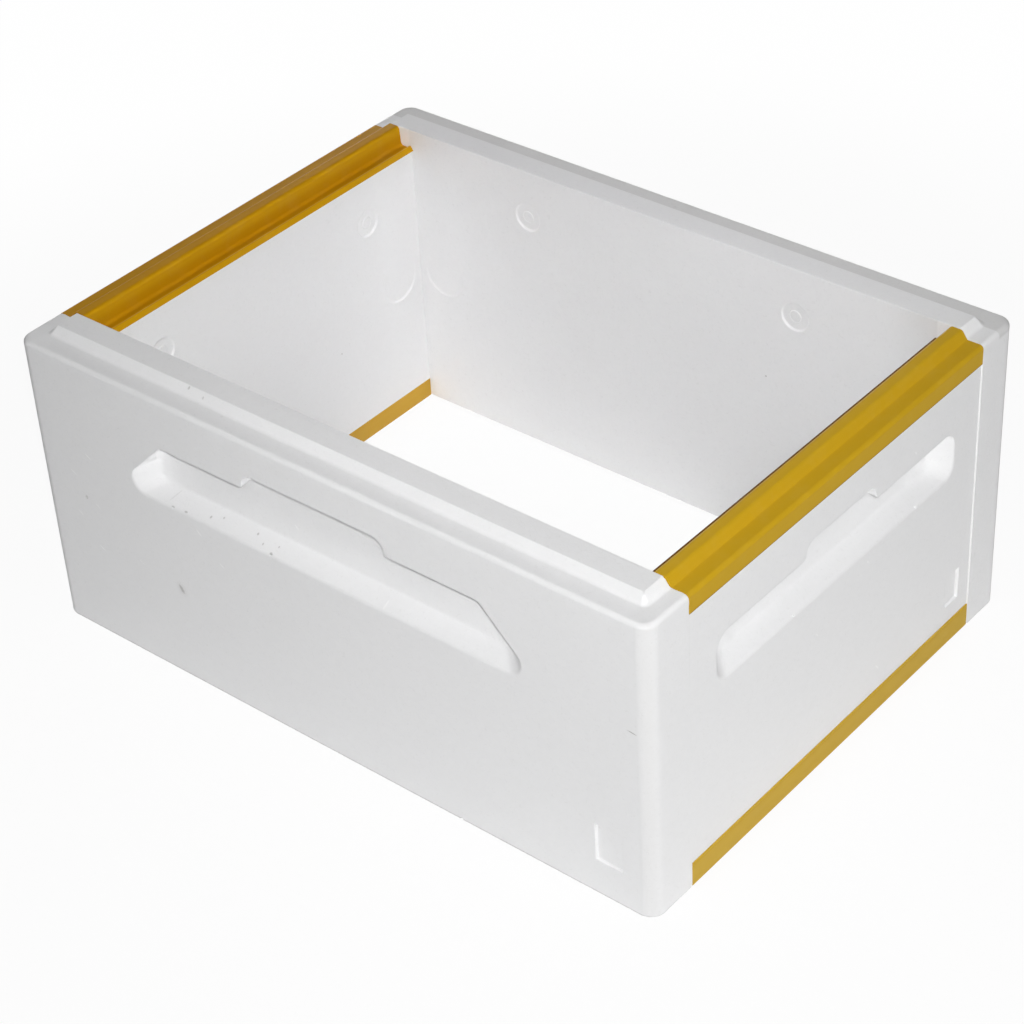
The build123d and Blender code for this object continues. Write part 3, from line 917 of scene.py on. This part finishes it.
def tip_marks(piece, across, along, inner):
    """Tips the floor of each round mark, so that it is deepest at its foot, and lifts or sinks it."""
    sign = 1 if inner > 0 else -1
    axis, way = ("X", -sign) if across == 1 else ("Y", sign)
    mesh = edit_only(piece)
    bpy.ops.mesh.select_mode(type="VERT")
    for side in (-1, 1):
        for band in MARK_BANDS:

            def on_floor(corner):
                deep = MARK_FLOOR < (corner.co[across] - inner) * sign < MARK_DEPTH
                in_band = band["low"] < corner.co.z < band["high"]
                return deep and in_band and 0 < corner.co[along] * side < INSIDE[across]

            choose_corners(piece, on_floor)
            places = [corner.co.copy() for corner in mesh.verts if corner.select]
            height = max(co.z for co in places) - min(co.z for co in places)
            turn = 2 * band["tip"] / height * way
            centre = sum(places, Vector()) / len(places)
            bpy.ops.transform.rotate(value=turn, orient_axis=axis, center_override=centre)
            bpy.ops.transform.translate(value=on_axis(across, -band["lift"] * sign))
            foot = min((corner.co for corner in mesh.verts if corner.select), key=lambda co: co.z)
            depth = (foot[across] - inner) * sign / MILLIMETRE
            print("mark", side, len(places), "corners, foot", round(depth, 2), "mm deep")
    bpy.ops.object.mode_set(mode="OBJECT")


def plate_edges(across, along, place, half):
    """A test for the edges of the bare plate on a wall's outer face."""

    def wanted(edge):
        for corner in edge.verts:
            on_plate = between(corner, along, half, PLATE_BOTTOM, PLATE_TOP)
            if abs(corner.co[across] - place) > PLATE_DEPTH or not on_plate:
                return False
        return is_sharp(edge)

    return wanted


def rim_edges(half):
    """A test for a long wall's outer arrises: rim, underside and end faces, but not the glued groove."""

    def wanted(edge):
        for corner in edge.verts:
            from_end = half - abs(corner.co.x)
            in_joint = JOINT_FAR < from_end < JOINT_NEAR and corner.co.z < JOINT_TOP
            in_mouth = MOUTH_BOTTOM < corner.co.z < MOUTH_TOP and from_end > JOINT_NEAR
            if in_joint or in_mouth:
                return False
        return turn_of(edge) > RIM_TURN and edge.calc_length() > RIM_BEVEL

    return wanted


for name, piece in walls.items():
    across, along, place, half = outer_plane(name)
    low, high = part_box(name)
    if name in LONG_WALLS:
        inner = low[across] + high[across] - place
    else:
        inner = min(low[across], high[across], key=abs)
    marks = round_edges(piece, mark_edges(across, inner), MARK_BEVEL)
    tip_marks(piece, across, along, inner)
    plates = round_edges(piece, plate_edges(across, along, place, half), PLATE_BEVEL)
    rims = round_edges(piece, rim_edges(half), RIM_BEVEL) if name in LONG_WALLS else 0
    print(name, "mark edges", marks, "plate edges", plates, "rim edges", rims)

# %% [markdown]
# ## Edges of the rails
#
# Drawn plastic has crisp edges, but none is knife-sharp. Each sharp edge of a rail gets a narrow bevel,
# enough to catch a line of light.

# %% Edges of the rails
RAIL_BEVEL = 0.25 * MILLIMETRE

for name, piece in rails.items():
    print(name, "edges", round_edges(piece, is_sharp, RAIL_BEVEL))

# %% [markdown]
# ## Nicks
#
# Foam dents and chips easily, most of all on its arrises and on the lips of the hand grips. A nick is a
# small lump, made uneven at random but the same on every run, that is cut out of the wall.

# %% Nicks in the foam
NICKS = {
    "front_wall": [
        ((-157.7, -202.2, 234.9), 1.5), ((54.5, -202.6, 234.4), 1.2), ((192.3, -202.7, 234.4), 1.4),
        ((-42.8, -202.2, 149.3), 1.2), ((-133.2, -202.4, 149.2), 0.9), ((-222.7, -203.0, 120.2), 1.0),
        ((-122.2, -182.4, 240.2), 0.9), ((110.0, -202.9, 0.2), 1.5),
    ],
    "back_wall": [
        ((-80.0, 202.6, 234.6), 1.5), ((140.0, 202.7, 234.4), 1.3), ((20.0, 202.3, 149.2), 1.2),
        ((-190.0, 203.2, 60.0), 1.5), ((170.0, 202.9, 0.2), 1.7),
    ],
    "left_end_wall": [
        ((-266.9, 40.0, 147.0), 1.3), ((-266.9, -75.0, 147.2), 1.0), ((-267.0, 96.0, 60.0), 1.1),
    ],
    "right_end_wall": [((266.9, -52.0, 147.0), 0.9), ((266.9, 88.0, 147.2), 1.0)],
}
UNEVEN = 0.25
LUMP_DETAIL = 2


def nick_lump(place, size, seed):
    """A small uneven lump where a nick will be cut, with its size in millimetres."""
    bpy.ops.object.select_all(action="DESELECT")
    middle = [value * MILLIMETRE for value in place]
    bpy.ops.mesh.primitive_ico_sphere_add(
        subdivisions=LUMP_DETAIL, radius=size * MILLIMETRE, location=middle
    )
    bpy.ops.object.mode_set(mode="EDIT")
    bpy.ops.mesh.select_all(action="SELECT")
    bpy.ops.transform.vertex_random(offset=UNEVEN * size * MILLIMETRE, seed=seed)
    bpy.ops.object.mode_set(mode="OBJECT")
    return bpy.context.object


def cut_nicks(piece, nicks):
    """Cuts all nicks of one wall in one go."""
    lumps = [nick_lump(place, size, seed) for seed, (place, size) in enumerate(nicks)]
    bpy.ops.object.select_all(action="DESELECT")
    for lump in lumps:
        lump.select_set(True)
    bpy.context.view_layer.objects.active = lumps[0]
    bpy.ops.object.join()
    cut = piece.modifiers.new("nicks", "BOOLEAN")
    cut.operation, cut.solver, cut.object = "DIFFERENCE", "EXACT", lumps[0]
    select_only(piece)
    bpy.ops.object.modifier_apply(modifier=cut.name)
    bpy.data.objects.remove(lumps[0])


for name, nicks in NICKS.items():
    before = len(walls[name].data.polygons)
    cut_nicks(walls[name], nicks)
    print(name, "nicks", len(nicks), "faces", before, "became", len(walls[name].data.polygons))

# %% [markdown]
# ## Showing the copies
#
# Each copy takes the place of its construction piece: the piece stays in the model for its weight and
# contact, and the copy is what is seen.

# %% Put the copies in place
SMOOTH_ANGLE = radians(60)


def smooth_shade(piece):
    """Shades the piece smooth, with its large faces kept flat."""
    select_only(piece)
    bpy.ops.object.shade_smooth_by_angle(angle=SMOOTH_ANGLE)
    weighted = piece.modifiers.new("flat_faces", "WEIGHTED_NORMAL")
    weighted.keep_sharp = True
    bpy.ops.object.modifier_apply(modifier=weighted.name)


for name, piece in {**walls, **rails}.items():
    smooth_shade(piece)
    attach(piece, "root")
    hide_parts(name)
    "rail_plastic" if name in rails else "foam"
print("dressed pieces", len(walls) + len(rails))

# %% [markdown]
# ## Floor and background
#
# The background is plain white. A floor that is lit to white would need so much light that the foam would
# burn out, so the floor glows for the camera alone: most of what the camera sees is an even white, and
# the rest is the lit floor, which keeps a soft shadow. For all other rays it is a white card under the
# box on a darker table, because the walls in the photograph are brighter near the bottom: a card lights
# what is close to it, and an endless white floor would light the tops of the walls just as much.

# %% Floor
FLOOR_SIZE = 14.0
FLOOR_DROP = 0.2 * MILLIMETRE
CARD_COLOUR = rgba(0.95, 0.95, 0.95)
TABLE_COLOUR = rgba(0.35, 0.35, 0.35)
CARD_REACH = (0.45, 0.9)
CARD_GLOW = 0.92
TABLE_GLOW = 0.995
FLOOR_ROUGHNESS = 0.9
WHITE = rgba(1, 1, 1)
WHITE_RAYS = ("Camera", "Glossy", "Transmission")


def white_rays(tone):
    """1 for rays that see plain white: the camera's, and those off gloss or through something clear."""
    seen, gloss, clear = (tone.add("ShaderNodeLightPath", f"Is {kind} Ray") for kind in WHITE_RAYS)
    return seen.larger(gloss).larger(clear)


def floor_finish():
    """A white card on a table, both nearly white to the camera, and the card keeps the shadow."""
    material, shader, position = new_finish("pale_floor")
    away = position.length().fade(*CARD_REACH)
    feed(shader, "Base Color", away.mix(CARD_COLOUR, TABLE_COLOUR))
    shader.inputs["Roughness"].default_value = FLOOR_ROUGHNESS
    lit = Tone(material.node_tree, shader.outputs[0])
    glow = position.add("ShaderNodeEmission", 0, None, {"Color": WHITE, "Strength": 1.0})
    share = white_rays(position) * (CARD_GLOW + away * (TABLE_GLOW - CARD_GLOW))
    mixed = position.add("ShaderNodeMixShader", 0, None, {0: share, 1: lit, 2: glow})
    output = material.node_tree.nodes["Material Output"]
    material.node_tree.links.new(mixed.socket, output.inputs["Surface"])
    return material


bpy.ops.object.select_all(action="DESELECT")
bpy.ops.mesh.primitive_plane_add(size=FLOOR_SIZE, location=(0, 0, -FLOOR_DROP))
floor = bpy.context.object
floor.name = "floor"
floor.data.materials.append(floor_finish())
print("floor", FLOOR_SIZE, "m")

# %% [markdown]
# ## Light
#
# The photograph looks as if it was lit by a flash just above the lens, in a bright room. Such a light
# throws its shadows behind what it lights, so hardly any show: only a thin dark line under the ceiling of
# a hand grip, where the flash sees a little less than the lens does. A small lamp over the camera gives
# that. Large soft lamps and an even sky stand for the room and its bright right side, two narrow beams
# lighten the inner faces a little, and a large lamp behind the box keeps the far walls readable.

# %% Sky and lamps
SKY_STRENGTH = 0.1
BOX_MIDDLE = (0.0, 0.0, 0.12)
LAMPS = {
    "flash": {"place": (1.03, -1.14, 1.262), "aim": BOX_MIDDLE, "size": 0.04, "spread": 180.0, "power": 18.7},
    "room_front": {"place": (2.0, -2.3, 2.4), "aim": BOX_MIDDLE, "size": 1.0, "spread": 180.0, "power": 6.3},
    "room_above": {"place": (0.3, -1.0, 2.0), "aim": BOX_MIDDLE, "size": 0.8, "spread": 180.0, "power": 3.5},
    "room_right": {"place": (2.0, -0.1, 0.8), "aim": BOX_MIDDLE, "size": 0.8, "spread": 180.0, "power": 5.8},
    "into_box": {
        "place": (1.1, -1.2, 1.45), "aim": (-0.16, 0.18, 0.18), "size": 0.3, "spread": 18.0, "power": 0.10,
    },
    "box_right": {
        "place": (-0.3, -1.0, 1.5), "aim": (0.15, 0.18, 0.16), "size": 0.3, "spread": 14.0, "power": 0.026,
    },
    "back_fill": {"place": (-1.6, 1.9, 0.3), "aim": BOX_MIDDLE, "size": 1.2, "spread": 180.0, "power": 24.0},
}

world = bpy.data.worlds.new("bright_room")
world.use_nodes = True
bpy.context.scene.world = world
sky = Tone(world.node_tree, None)
strength = SKY_STRENGTH + white_rays(sky) * (1.0 - SKY_STRENGTH)
background = world.node_tree.nodes["Background"]
background.inputs["Color"].default_value = WHITE
world.node_tree.links.new(strength.socket, background.inputs["Strength"])

for name, lamp in LAMPS.items():
    data = bpy.data.lights.new(name, "AREA")
    data.shape = "DISK"
    data.size = lamp["size"]
    data.spread = radians(lamp["spread"])
    data.energy = lamp["power"]
    light = bpy.data.objects.new(name, data)
    bpy.context.collection.objects.link(light)
    light.location = lamp["place"]
    light.rotation_euler = (Vector(lamp["aim"]) - light.location).to_track_quat("-Z", "Y").to_euler()
print("lamps", len(LAMPS))

# %% [markdown]
# ## Camera
#
# The camera's place, angles and lens come from the lines of the box in the photograph: three sets of
# parallel edges fix where it looks from, and the size of the box fixes how far away it is.

# %% Camera
CAMERA_PLACE = Vector((1.00752, -1.14824, 1.21033))
CAMERA_AZIMUTH = radians(41.51)
CAMERA_ELEVATION = radians(36.46)
CAMERA_ROLL = radians(-3.53)
CAMERA_LENS = 94.66
SENSOR_WIDTH = 36.0

camera_data = bpy.data.cameras.new("camera")
camera_data.lens = CAMERA_LENS
camera_data.sensor_width = SENSOR_WIDTH
camera = bpy.data.objects.new("camera", camera_data)
bpy.context.collection.objects.link(camera)
heading = Matrix.Rotation(CAMERA_AZIMUTH, 4, "Z")
tilt = Matrix.Rotation(pi / 2 - CAMERA_ELEVATION, 4, "X")
roll = Matrix.Rotation(CAMERA_ROLL, 4, "Z")
camera.matrix_world = Matrix.Translation(CAMERA_PLACE) @ heading @ tilt @ roll
bpy.context.scene.camera = camera
bpy.context.scene.view_settings.view_transform = "Standard"
print("camera at", [round(value, 3) for value in CAMERA_PLACE])
